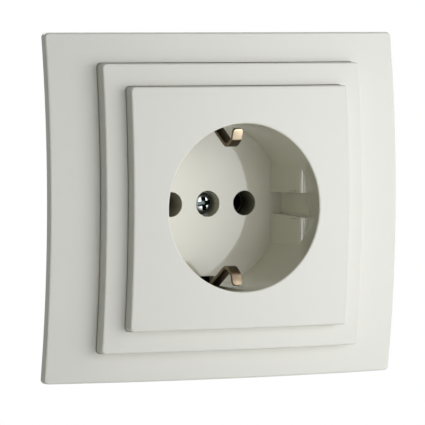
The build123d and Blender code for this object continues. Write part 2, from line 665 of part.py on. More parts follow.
os.makedirs("parts", exist_ok=True)
for piece_name, piece in make_pieces().items():
    export_step(piece, f"parts/{piece_name}.step")
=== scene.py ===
"""Looks of a flush wall socket with a bowed frame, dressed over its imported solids.

Lengths are metres in the socket's own frame: the wall is the plane y = 0, the front faces -Y and +Z is up.
"""

import json
import logging
from abc import ABC, abstractmethod
from collections.abc import Mapping, Sequence
from dataclasses import dataclass, field
from enum import Enum
from math import cos, pi, radians, sin

import bmesh
import bpy
from mathutils import Matrix, Vector


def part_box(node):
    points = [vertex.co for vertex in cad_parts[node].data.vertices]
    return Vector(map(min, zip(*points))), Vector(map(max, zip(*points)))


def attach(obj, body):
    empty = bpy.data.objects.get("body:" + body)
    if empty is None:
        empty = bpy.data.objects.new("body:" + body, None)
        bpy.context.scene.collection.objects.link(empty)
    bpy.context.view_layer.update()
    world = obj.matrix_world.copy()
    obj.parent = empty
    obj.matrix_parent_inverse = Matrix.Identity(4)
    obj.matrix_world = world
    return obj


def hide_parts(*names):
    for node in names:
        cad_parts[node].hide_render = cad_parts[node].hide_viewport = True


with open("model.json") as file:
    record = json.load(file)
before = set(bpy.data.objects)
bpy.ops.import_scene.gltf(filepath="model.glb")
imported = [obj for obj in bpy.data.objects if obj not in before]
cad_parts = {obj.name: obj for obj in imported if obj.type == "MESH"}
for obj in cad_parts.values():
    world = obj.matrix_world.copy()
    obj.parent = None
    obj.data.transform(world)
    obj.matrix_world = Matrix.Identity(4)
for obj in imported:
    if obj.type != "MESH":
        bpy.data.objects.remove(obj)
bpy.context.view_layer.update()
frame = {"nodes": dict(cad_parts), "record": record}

MM = 0.001
SMOOTH_ANGLE = radians(32)
EDGE_WEAR = "edge_wear"
# Name of the strip's value of plug wear and painted sheen.
RUB_AND_PAINTED_SHEEN = "rubbed"
NOISE_MIDDLE = 0.5
WHITE = (1.0, 1.0, 1.0)

Colour = tuple[float, float, float]
Place = tuple[float, float, float]
Span = tuple[float, float]

log = logging.getLogger("wall_socket")


class Signal:
    """One output of a node. Arithmetic on it adds Math nodes to the same canvas."""

    def __init__(self, canvas: "Canvas", socket: bpy.types.NodeSocket | None) -> None:
        """Keep the canvas and the output socket."""
        self.canvas = canvas
        self.socket = socket

    def other(self, name: str) -> "Signal":
        """Another output of the same node."""
        return Signal(self.canvas, self.socket.node.outputs[name])

    def math(self, operation: str, *operands: "Signal | float") -> "Signal":
        """One Math node.

        Args:
            operation: The node's operation, such as "MAXIMUM".
            operands: Its inputs in order.

        Returns:
            The node's value.
        """
        return self.canvas.add("ShaderNodeMath", {"operation": operation}, dict(enumerate(operands)))

    def __add__(self, other: "Signal | float") -> "Signal":
        """This value plus another."""
        return self.math("ADD", self, other)

    def __radd__(self, other: float) -> "Signal":
        """A number plus this value."""
        return self.math("ADD", other, self)

    def __sub__(self, other: "Signal | float") -> "Signal":
        """This value minus another."""
        return self.math("SUBTRACT", self, other)

    def __rsub__(self, other: float) -> "Signal":
        """A number minus this value."""
        return self.math("SUBTRACT", other, self)

    def __mul__(self, other: "Signal | float") -> "Signal":
        """This value times another."""
        return self.math("MULTIPLY", self, other)

    def __rmul__(self, other: float) -> "Signal":
        """A number times this value."""
        return self.math("MULTIPLY", other, self)

    def __truediv__(self, other: "Signal | float") -> "Signal":
        """This value divided by another."""
        return self.math("DIVIDE", self, other)

    def __rtruediv__(self, other: float) -> "Signal":
        """A number divided by this value."""
        return self.math("DIVIDE", other, self)

    def __pow__(self, other: "Signal | float") -> "Signal":
        """This value to a power."""
        return self.math("POWER", self, other)

    def __abs__(self) -> "Signal":
        """This value without its sign."""
        return self.math("ABSOLUTE", self)


class Canvas:
    """A node tree that is drawn one node at a time."""

    def __init__(self, tree: bpy.types.NodeTree) -> None:
        """Start on an empty tree."""
        self.tree = tree
        tree.nodes.clear()

    def add(
        self,
        kind: str,
        settings: Mapping[str, object] | None = None,
        inputs: Mapping[str | int, object] | None = None,
        output: str | None = None,
    ) -> Signal:
        """Add one node.

        Args:
            kind: The node's type.
            settings: Its properties, set first.
            inputs: Values or signals for its sockets, by name or by number. A list fills a multi-input.
            output: The output to return, or None for the first one in use.

        Returns:
            The chosen output.
        """
        node = self.tree.nodes.new(kind)
        for name, value in (settings or {}).items():
            setattr(node, name, value)
        for key, value in (inputs or {}).items():
            socket = self._find(node.inputs, key)
            for item in value if isinstance(value, list) else [value]:
                if isinstance(item, Signal):
                    self.tree.links.new(item.socket, socket)
                else:
                    socket.default_value = item
        if output is not None:
            return Signal(self, self._find(node.outputs, output))
        used = [socket for socket in node.outputs if socket.enabled]
        return Signal(self, used[0] if used else None)

    @staticmethod
    def _find(sockets: bpy.types.bpy_prop_collection, key: str | int) -> bpy.types.NodeSocket:
        """Find a socket.

        Args:
            sockets: A node's inputs or outputs.
            key: The name of a socket in use, or a number.

        Returns:
            The socket.
        """
        if isinstance(key, int):
            return sockets[key]
        return next(socket for socket in sockets if socket.enabled and socket.name == key)

    def mix(self, factor: Signal, low: object, high: object) -> Signal:
        """A colour between two others."""
        settings = {"data_type": "RGBA"}
        return self.add("ShaderNodeMix", settings, {"Factor": factor, "A": low, "B": high}, "Result")

    def ramp(
        self,
        value: Signal,
        start: "Signal | float",
        end: "Signal | float",
        kind: str = "LINEAR",
    ) -> Signal:
        """A rise from zero to one.

        Args:
            value: What the rise depends on.
            start: Where it starts, with zero before it.
            end: Where it ends, with one after it.
            kind: The node's interpolation, such as "SMOOTHSTEP".

        Returns:
            The risen value.
        """
        inputs = {"Value": value, "From Min": start, "From Max": end}
        return self.add("ShaderNodeMapRange", {"interpolation_type": kind}, inputs)

    def noise(self, place: Signal, size: float, detail: float) -> Signal:
        """Cloudy values about one half, with features of a given size."""
        return self.add("ShaderNodeTexNoise", {}, {"Vector": place, "Scale": 1 / size, "Detail": detail})

    def stretched(self, place: Signal, scale: Place) -> Signal:
        """A place with its axes scaled, so that noise on it becomes streaks."""
        return self.add("ShaderNodeMapping", {}, {"Vector": place, "Scale": scale})

    def apart(self, place: Signal, axis: str = "X") -> Signal:
        """One coordinate of a place, whose node has the others too."""
        return self.add("ShaderNodeSeparateXYZ", {}, {"Vector": place}, axis)

    def bump(self, height: Signal, distance: float) -> Signal:
        """The surface's normal, bent by a height."""
        return self.add("ShaderNodeBump", {}, {"Height": height, "Distance": distance, "Strength": 1.0})

    def attribute(self, name: str) -> Signal:
        """A value that the mesh carries, or zero where it carries none."""
        return self.add("ShaderNodeAttribute", {"attribute_name": name}, output="Fac")


def hypotenuse(first: Signal, second: Signal) -> Signal:
    """The length that two sides at right angles span."""
    return (first * first + second * second) ** 0.5


def opaque(colour: Colour) -> tuple[float, float, float, float]:
    """A colour with full alpha."""
    return (*colour, 1.0)


def shaded(colour: Colour, amount: float) -> tuple[float, float, float, float]:
    """A colour made brighter or darker by a factor, with full alpha."""
    return opaque(tuple(min(1.0, channel * amount) for channel in colour))


@dataclass(frozen=True)
class Finish(ABC):
    """A surface finish: what its material is called, and the colour and roughness that it starts from."""

    name: str
    colour: Colour
    roughness: float

    def material(self) -> bpy.types.Material:
        """The finish as a material, built on first use.

        Returns:
            The material that all pieces of this finish share.
        """
        known = bpy.data.materials.get(self.name)
        if known:
            return known
        material = bpy.data.materials.new(self.name)
        material.use_nodes = True
        canvas = Canvas(material.node_tree)
        place = canvas.add("ShaderNodeTexCoord", output="Object")
        surface = canvas.add("ShaderNodeBsdfPrincipled", {}, self.sockets(canvas, place))
        canvas.add("ShaderNodeOutputMaterial", {}, {"Surface": surface})
        return material

    @abstractmethod
    def sockets(self, canvas: Canvas, place: Signal) -> dict[str, object]:
        """The shader's inputs.

        Args:
            canvas: The material's tree.
            place: The point on the surface, in metres.

        Returns:
            A value or a signal for each socket that is set.
        """


@dataclass(frozen=True)
class MouldedPlastic(Finish):
    """Injection-moulded plastic: cloudy colour and a fine spark-eroded grain."""

    cloud_size: float = 14 * MM
    cloud_detail: float = 3.0
    cloud_depth: float = 0.012
    cloud_roughness: float = 0.08
    grain_size: float = 0.22 * MM
    grain_detail: float = 2.0
    grain_depth: float = 0.008 * MM
    refraction: float = 1.56

    def sockets(self, canvas: Canvas, place: Signal) -> dict[str, object]:
        """Colour clouds, and grain as bump.

        Args:
            canvas: The material's tree.
            place: The point on the surface, in metres.

        Returns:
            A value or a signal for each socket that is set.
        """
        cloud = self.cloud(canvas, place)
        grain = self.grain(canvas, place)
        return self.surface(canvas, self.clouded(canvas, cloud, self.colour), self.rough(cloud), grain)

    def surface(
        self,
        canvas: Canvas,
        colour: Signal,
        roughness: Signal,
        height: Signal,
    ) -> dict[str, object]:
        """The shader's inputs for this plastic.

        Args:
            canvas: The material's tree.
            colour: The base colour.
            roughness: The roughness.
            height: The relief, in grain depths.

        Returns:
            A value or a signal for each socket that is set.
        """
        return {
            "Base Color": colour,
            "Roughness": roughness,
            "IOR": self.refraction,
            "Normal": canvas.bump(height, self.grain_depth),
        }

    def cloud(self, canvas: Canvas, place: Signal) -> Signal:
        """Wide clouds in the moulding."""
        return canvas.noise(place, self.cloud_size, self.cloud_detail)

    def grain(self, canvas: Canvas, place: Signal) -> Signal:
        """The mould's fine grain."""
        return canvas.noise(place, self.grain_size, self.grain_detail)

    def rough(self, cloud: Signal) -> Signal:
        """The roughness that goes with the clouds."""
        return self.roughness + self.cloud_roughness * (cloud - NOISE_MIDDLE)

    def clouded(self, canvas: Canvas, cloud: Signal, colour: Colour) -> Signal:
        """A colour that the clouds make a little darker or brighter."""
        return canvas.mix(cloud, shaded(colour, 1 - self.cloud_depth), shaded(colour, 1 + self.cloud_depth))


@dataclass(frozen=True)
class WellPlastic(MouldedPlastic):
    """The same plastic on the cover: polished in its well, with a dished floor; painted shade makes the
    well darker and warmer and darkens the pin tubes.
    """

    gloss_radius: float = 19.35 * MM
    gloss_fade: float = 0.1 * MM
    # Colour inside the well: painted shade, darker and warmer than the plate.
    painted_well_shade_colour: Colour = (0.662, 0.643, 0.533)
    gloss_roughness: float = 0.06
    gloss_smoothing: float = 0.95
    dish_radius: float = 600 * MM
    dish_reach: float = 17.5 * MM
    floor: float = 4.55 * MM
    tube_offset: float = 9.5 * MM
    tube_radius: float = 3.0 * MM
    tube_fade: float = 0.1 * MM
    # Dark colour for the groove scuffs, and painted shade in the pin tubes.
    scuff_and_tube_shade: Colour = (0.07, 0.065, 0.03)
    tube_shade_lip: Span = (0.1 * MM, 0.5 * MM)
    tube_shade_start: float = 0.42
    tube_shade_depth: float = 6.5 * MM
    tube_shade_left: float = 0.62
    scuff_level: float = 3.2 * MM
    scuff_width: Span = (0.05 * MM, 0.22 * MM)
    scuff_front: Span = (-9.6 * MM, -8.4 * MM)
    scuff_rear: Span = (-5.7 * MM, -4.2 * MM)
    scuff_side: Span = (15.0 * MM, 15.5 * MM)
    scuff_stretch: Place = (1.0, 0.35, 1.0)
    scuff_size: float = 0.5 * MM
    scuff_detail: float = 2.0
    scuff_breaks: Span = (0.38, 0.54)
    scuff_depth: float = 0.45

    def sockets(self, canvas: Canvas, place: Signal) -> dict[str, object]:
        """Grained outside the well, and smooth and dished inside it, where painted shade makes the colour
        darker and warmer.

        Args:
            canvas: The material's tree.
            place: The point on the surface, in metres.

        Returns:
            A value or a signal for each socket that is set.
        """
        cloud = self.cloud(canvas, place)
        grain = self.grain(canvas, place)
        apart = canvas.apart(place)
        radius = hypotenuse(apart, apart.other("Z"))
        rim = self.gloss_radius
        inside = 1 - canvas.ramp(radius, rim - self.gloss_fade, rim + self.gloss_fade)
        plate = self.clouded(canvas, cloud, self.colour)
        # Painted shade: inside the well the colour is darker and warmer than the plate's.
        colour = canvas.mix(inside, plate, self.clouded(canvas, cloud, self.painted_well_shade_colour))
        colour = canvas.mix(self.scuffed(canvas, place, apart), colour, opaque(self.scuff_and_tube_shade))
        # Painted shade in the pin tubes: deeper further in, and weaker in the left tube.
        colour = canvas.mix(self.painted_tube_shade(canvas, apart), colour, opaque(self.scuff_and_tube_shade))
        roughness = self.rough(cloud) + (self.gloss_roughness - self.roughness) * inside
        near = radius.math("MINIMUM", radius, self.dish_reach)
        dish = near * near / (2 * self.dish_radius * self.grain_depth)
        return self.surface(canvas, colour, roughness, grain * (1 - self.gloss_smoothing * inside) + dish)

    def scuffed(self, canvas: Canvas, place: Signal, apart: Signal) -> Signal:
        """Short dark streaks along both edges of the grooves in the well's flats.

        Args:
            canvas: The material's tree.
            place: The point on the surface.
            apart: Its coordinates.

        Returns:
            How dark the streaks are.
        """
        line = 1 - canvas.ramp(abs(abs(apart.other("Z")) - self.scuff_level), *self.scuff_width)
        front = canvas.ramp(apart.other("Y"), *self.scuff_front)
        rear = 1 - canvas.ramp(apart.other("Y"), *self.scuff_rear)
        flat = canvas.ramp(abs(apart), *self.scuff_side)
        along = canvas.stretched(place, self.scuff_stretch)
        streak = canvas.noise(along, self.scuff_size, self.scuff_detail)
        broken = canvas.ramp(streak, *self.scuff_breaks)
        return line * front * rear * flat * broken * self.scuff_depth

    def painted_tube_shade(self, canvas: Canvas, apart: Signal) -> Signal:
        """How much painted shade darkens the pin tubes: more with depth, less in the left one, and none
        outside them.

        Args:
            canvas: The material's tree.
            apart: The coordinates of the point on the surface.

        Returns:
            The share of painted shade.
        """
        away = hypotenuse(abs(apart) - self.tube_offset, apart.other("Z"))
        tube = 1 - canvas.ramp(away, self.tube_radius, self.tube_radius + self.tube_fade)
        depth = apart.other("Y") - self.floor
        deep = canvas.ramp(depth, 0.0, self.tube_shade_depth)
        rightward = canvas.ramp(apart, -self.tube_offset, self.tube_offset)
        share = self.tube_shade_left + (1 - self.tube_shade_left) * rightward
        lip = canvas.ramp(depth, *self.tube_shade_lip)
        return tube * lip * share * (self.tube_shade_start + (1 - self.tube_shade_start) * deep)


@dataclass(frozen=True)
class PlatedMetal(Finish):
    """Rolled or plated metal: patchy tone, streaks along one axis, fine scratches and worn edges."""

    tarnish: Colour = (0.3, 0.3, 0.3)
    patch_size: float = 3 * MM
    patch_detail: float = 4.0
    patch_range: Span = (0.45, 0.75)
    patch_depth: float = 0.3
    patch_roughness: float = 0.12
    streak_size: float = 0.12 * MM
    streak_detail: float = 2.0
    streak_stretch: Place = (1.0, 0.06, 1.0)
    streak_roughness: float = 0.1
    scratch_depth: float = 0.004 * MM
    edge_range: Span = (0.35, 0.55)
    edge_gain: float = 1.25
    edge_share: float = 1.0

    def sockets(self, canvas: Canvas, place: Signal) -> dict[str, object]:
        """Tarnish in patches, and streaks in both the roughness and the bump.

        Args:
            canvas: The material's tree.
            place: The point on the surface, in metres.

        Returns:
            A value or a signal for each socket that is set.
        """
        patch = canvas.noise(place, self.patch_size, self.patch_detail)
        along = canvas.stretched(place, self.streak_stretch)
        streak = canvas.noise(along, self.streak_size, self.streak_detail)
        dull = canvas.ramp(patch, *self.patch_range, "SMOOTHSTEP")
        toned = canvas.mix(dull * self.patch_depth, self.tone(canvas, place), opaque(self.tarnish))
        edge = self.wear(canvas) * canvas.ramp(patch, *self.edge_range)
        patchy = self.roughness + self.patch_roughness * (patch - NOISE_MIDDLE)
        return {
            "Base Color": canvas.mix(edge, toned, shaded(self.colour, self.edge_gain)),
            "Metallic": 1.0,
            "Roughness": patchy + self.streak_roughness * (streak - NOISE_MIDDLE),
            "Normal": canvas.bump(streak, self.scratch_depth),
        }

    def tone(self, canvas: Canvas, place: Signal) -> object:
        """The metal's colour before tarnish."""
        return opaque(self.colour)

    def wear(self, canvas: Canvas) -> Signal:
        """How far the edges may be worn."""
        return canvas.attribute(EDGE_WEAR) * self.edge_share


@dataclass(frozen=True)
class SpringBronze(PlatedMetal):
    """Spring strip whose dark colour is painted shade, made bright where plugs wear its tips and by painted
    sheen on its tips' fronts and sides.
    """

    # Colour of bare metal where plugs wear the tips, and of the painted sheen.
    bright: Colour = (0.54, 0.45, 0.315)

    def tone(self, canvas: Canvas, place: Signal) -> object:
        """Bright by the strip's own value of plug wear and painted sheen."""
        return canvas.mix(canvas.attribute(RUB_AND_PAINTED_SHEEN), opaque(self.colour), opaque(self.bright))

    def wear(self, canvas: Canvas) -> Signal:
        """Less where the strip is made bright by plug wear and painted sheen."""
        return super().wear(canvas) * (1.0 - canvas.attribute(RUB_AND_PAINTED_SHEEN))


@dataclass(frozen=True)
class ContactBrass(PlatedMetal):
    """Brass that is bright on its screw pads and, towards the front inside the base, nearly black by
    painted shade.
    """

    # Nearly black colour at the front: painted shade.
    dark: Colour = (0.02, 0.018, 0.012)
    painted_shade_until: float = 16 * MM
    bright_from: float = 21 * MM

    def tone(self, canvas: Canvas, place: Signal) -> object:
        """Painted shade at the front, the brass colour at the back."""
        rear = canvas.ramp(canvas.apart(place, "Y"), self.painted_shade_until, self.bright_from)
        return canvas.mix(rear, opaque(self.dark), opaque(self.colour))


@dataclass(frozen=True)
class DrivenZinc(PlatedMetal):
    """Plating on a screw on the socket's axis: a painted highlight on a disc of the crown left of the axis,
    and painted shade round that and in the driver's recess.
    """

    # Painted shade: rim on the head's flank, recess inside the driver's recess.
    rim: Colour = (0.13, 0.15, 0.145)
    recess: Colour = (0.05, 0.065, 0.06)
    # Disc of the crown, left of the axis, that carries the painted highlight.
    painted_highlight_radius: float = 1.8 * MM
    painted_highlight_offset: float = -0.6 * MM
    crown_front: float = 0.0
    crown_depth: float = 0.3 * MM
    fade: float = 0.12 * MM

    def tone(self, canvas: Canvas, place: Signal) -> object:
        """Painted highlight on the crown, painted shade on its flank and inside the driver's recess.

        Args:
            canvas: The material's tree.
            place: The point on the surface, in metres.

        Returns:
            The colour before tarnish.
        """
        apart = canvas.apart(place)
        # Painted highlight inside the disc; painted shade on the flank and in the recess.
        radius = hypotenuse(apart - self.painted_highlight_offset, apart.other("Z"))
        flank = canvas.ramp(radius, self.painted_highlight_radius - self.fade, self.painted_highlight_radius + self.fade)
        behind = self.crown_front + self.crown_depth
        inside = canvas.ramp(apart.other("Y"), behind, behind + self.fade) * (1 - flank)
        crown = canvas.mix(flank, opaque(self.colour), opaque(self.rim))
        return canvas.mix(inside, crown, opaque(self.recess))


@dataclass(frozen=True)
class Palette:
    """Every finish on the socket."""

    white: Finish = MouldedPlastic("moulded_white", (0.70, 0.689, 0.612), 0.46)
    white_well: Finish = WellPlastic("moulded_white_well", (0.703, 0.69, 0.61), 0.46)
    base: Finish = MouldedPlastic("base_black", (0.035, 0.035, 0.037), 0.5)
    zinc: Finish = PlatedMetal(
        "zinc_plate",
        (0.45, 0.455, 0.445),
        0.34,
        (0.29, 0.295, 0.285),
        patch_depth=0.32,
    )
    # The screw's colour is the crown's painted highlight; its rim and recess colours are painted shade.
    screw: Finish = DrivenZinc(
        "zinc_screw",
        (0.36, 0.38, 0.37),
        0.18,
        (0.16, 0.18, 0.17),
        crown_front=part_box("cover_screw")[0][1],
    )
    # The strip's dark colour is painted shade; its tarnish patches are its own.
    bronze: Finish = SpringBronze(
        "spring_bronze",
        (0.09, 0.066, 0.042),
        0.36,
        (0.058, 0.042, 0.026),
        patch_depth=0.06,
        scratch_depth=0.0015 * MM,
        edge_gain=1.4,
    )
    brass: Finish = PlatedMetal("rolled_brass", (0.70, 0.55, 0.28), 0.32, (0.42, 0.31, 0.13))
    contact: Finish = ContactBrass(
        "contact_brass",
        (0.70, 0.55, 0.28),
        0.32,
        (0.06, 0.05, 0.03),
        edge_share=0.0,
    )


@dataclass(frozen=True)
class Home:
    """Where a solid belongs: its body and its material slot, as the record gives them."""

    body: str
    slot: str

    @classmethod
    def of(cls, node: str) -> "Home":
        """Look a solid up.

        Args:
            node: The solid's name in the frame.

        Returns:
            Its home.
        """
        bodies = frame["record"]["behaviour"]["bodies"]
        body = next(name for name, nodes in bodies.items() if node in nodes)
        slots = {part["node"]: part["material_slot"] for part in frame["record"]["subparts"]}
        return cls(body, slots[node])

    def settle(self, piece: bpy.types.Object, *nodes: str) -> None:
        """Put a piece on the body in place of its solids.

        Args:
            piece: What stands for the solids.
            nodes: The solids' names in the frame.
        """
        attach(piece, self.body)
        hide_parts(*nodes)
        log.info("%s: %d faces for %s", piece.name, len(piece.data.polygons), ", ".join(nodes))


def dress(finish: Finish, *nodes: str) -> None:
    """Give solids a finish on their own meshes.

    Args:
        finish: What they are made of.
        nodes: Their names in the frame.
    """
    for node in nodes:
        for slot in frame["nodes"][node].material_slots:
            slot.material = finish.material()
        log.info("%s keeps its solid, dressed in %s", node, finish.name)


class Recess(Enum):
    """The hole that turns a fastener."""

    NONE = 0
    SLOT = 1
    CROSS = 2


class Facing(Enum):
    """Which way a fastener's head looks, as a turn about +Z."""

    FRONT = 0.0
    REAR = pi


@dataclass(frozen=True)
class FastenerForm:
    """Sizes of one kind of turned fastener. A crown of 2 is a dome, and a higher one is squarer."""

    head_radius: float
    head_height: float
    crown: float
    shank_radius: float
    length: float
    recess: Recess = Recess.NONE
    recess_span: float = 0.0
    recess_width: float = 0.0
    recess_depth: float = 0.0
    pitch: float = 0.5 * MM
    thread_depth: float = 0.0
    rows_per_pitch: int = 6

    def inputs(self) -> dict[str, float]:
        """The sizes under the names of the tree's inputs.

        Returns:
            Each input's name with its value.
        """
        return {
            "Head Radius": self.head_radius,
            "Head Height": self.head_height,
            "Crown": self.crown,
            "Shank Radius": self.shank_radius,
            "Length": self.length,
            "Pitch": self.pitch,
            "Thread Depth": self.thread_depth,
            "Shank Rows": float(max(2, round(self.length / self.pitch) * self.rows_per_pitch)),
            "Recess Span": self.recess_span,
            "Recess Width": self.recess_width,
            "Recess Depth": self.recess_depth,
        }


class GeometryCanvas(Canvas):
    """A Geometry Nodes tree with named inputs."""

    def __init__(self, name: str, inputs: Mapping[str, float]) -> None:
        """Start a tree that takes a geometry, a material and the named sizes.

        Args:
            name: The tree's name.
            inputs: Each size with its default.
        """
        super().__init__(bpy.data.node_groups.new(name, "GeometryNodeTree"))
        self.identifiers: dict[str, str] = {}
        self._declare("Geometry", "NodeSocketGeometry")
        self._declare("Material", "NodeSocketMaterial")
        for label, value in inputs.items():
            self._declare(label, "NodeSocketFloat").default_value = value
        self.tree.interface.new_socket(name="Geometry", in_out="OUTPUT", socket_type="NodeSocketGeometry")
        self.start = self.add("NodeGroupInput", output="Geometry")

    def _declare(self, label: str, kind: str) -> bpy.types.NodeTreeInterfaceSocket:
        """Add one input, and remember its identifier.

        Args:
            label: The input's name.
            kind: Its socket type.

        Returns:
            The input in the tree's interface.
        """
        item = self.tree.interface.new_socket(name=label, in_out="INPUT", socket_type=kind)
        self.identifiers[label] = item.identifier
        return item

    def size(self, label: str) -> Signal:
        """The value of a named input."""
        return self.start.other(label)

    def end(self, geometry: Signal) -> None:
        """Realize the instances, give them the material and finish the tree.

        Args:
            geometry: What the tree has made.
        """
        real = self.add("GeometryNodeRealizeInstances", {}, {"Geometry": geometry})
        inputs = {"Geometry": real, "Material": self.size("Material")}
        dressed = self.add("GeometryNodeSetMaterial", {}, inputs)
        self.add("NodeGroupOutput", {}, {"Geometry": dressed})

    def run(
        self,
        name: str,
        seed: bpy.types.Mesh,
        material: bpy.types.Material,
        sizes: Mapping[str, float],
    ) -> bpy.types.Object:
        """Run the tree on a mesh.

        Args:
            name: The new piece's name.
            seed: The mesh that goes in.
            material: Its finish.
            sizes: Values for the named inputs.

        Returns:
            A piece with the result as its own plain mesh.
        """
        piece = bpy.data.objects.new(name, seed)
        bpy.context.scene.collection.objects.link(piece)
        modifier = piece.modifiers.new(name, "NODES")
        modifier.node_group = self.tree
        modifier[self.identifiers["Material"]] = material
        for label, value in sizes.items():
            modifier[self.identifiers[label]] = value
        evaluated = piece.evaluated_get(bpy.context.evaluated_depsgraph_get())
        mesh = bpy.data.meshes.new_from_object(evaluated)
        piece.modifiers.clear()
        piece.data = mesh
        return piece


def smooth(piece: bpy.types.Object) -> None:
    """Shade a piece smooth, with its sharp edges kept."""
    piece.data.shade_smooth()
    piece.data.set_sharp_from_angle(angle=SMOOTH_ANGLE)


@dataclass(frozen=True)
class SoftEdged:
    """A solid's copy with its sharp edges broken, which stands for the solid."""

    node: str
    finish: Finish
    width: float = 0.1 * MM
    segments: int = 2
    weld: float = 0.0005 * MM
    flat_angle: float = radians(0.4)

    def build(self) -> bpy.types.Object:
        """Make the copy on its solid's body.

        Returns:
            The new piece.
        """
        mesh = frame["nodes"][self.node].data.copy()
        stored = mesh.attributes.get("custom_normal")
        if stored:
            mesh.attributes.remove(stored)
        work = bmesh.new()
        work.from_mesh(mesh)
        self.break_edges(work)
        work.to_mesh(mesh)
        work.free()
        mesh.materials.clear()
        mesh.materials.append(self.finish.material())
        piece = bpy.data.objects.new(f"{self.node}_edged", mesh)
        bpy.context.scene.collection.objects.link(piece)
        smooth(piece)
        Home.of(self.node).settle(piece, self.node)
        return piece

    def break_edges(self, work: bmesh.types.BMesh) -> None:
        """Merge the loose triangles, join flat ones and round every sharp edge a little.

        Args:
            work: The mesh, which is changed in place.
        """
        bmesh.ops.remove_doubles(work, verts=work.verts, dist=self.weld)
        bmesh.ops.dissolve_limit(work, angle_limit=self.flat_angle, verts=work.verts, edges=work.edges)
        wear = work.verts.layers.float.new(EDGE_WEAR)
        sharp = [edge for edge in work.edges if edge.is_manifold and edge.calc_face_angle() > SMOOTH_ANGLE]
        rounded = bmesh.ops.bevel(
            work,
            geom=sharp,
            offset=self.width,
            offset_type="OFFSET",
            segments=self.segments,
            profile=0.5,
            affect="EDGES",
            clamp_overlap=True,
        )
        for vertex in rounded["verts"]:
            vertex[wear] = 1.0


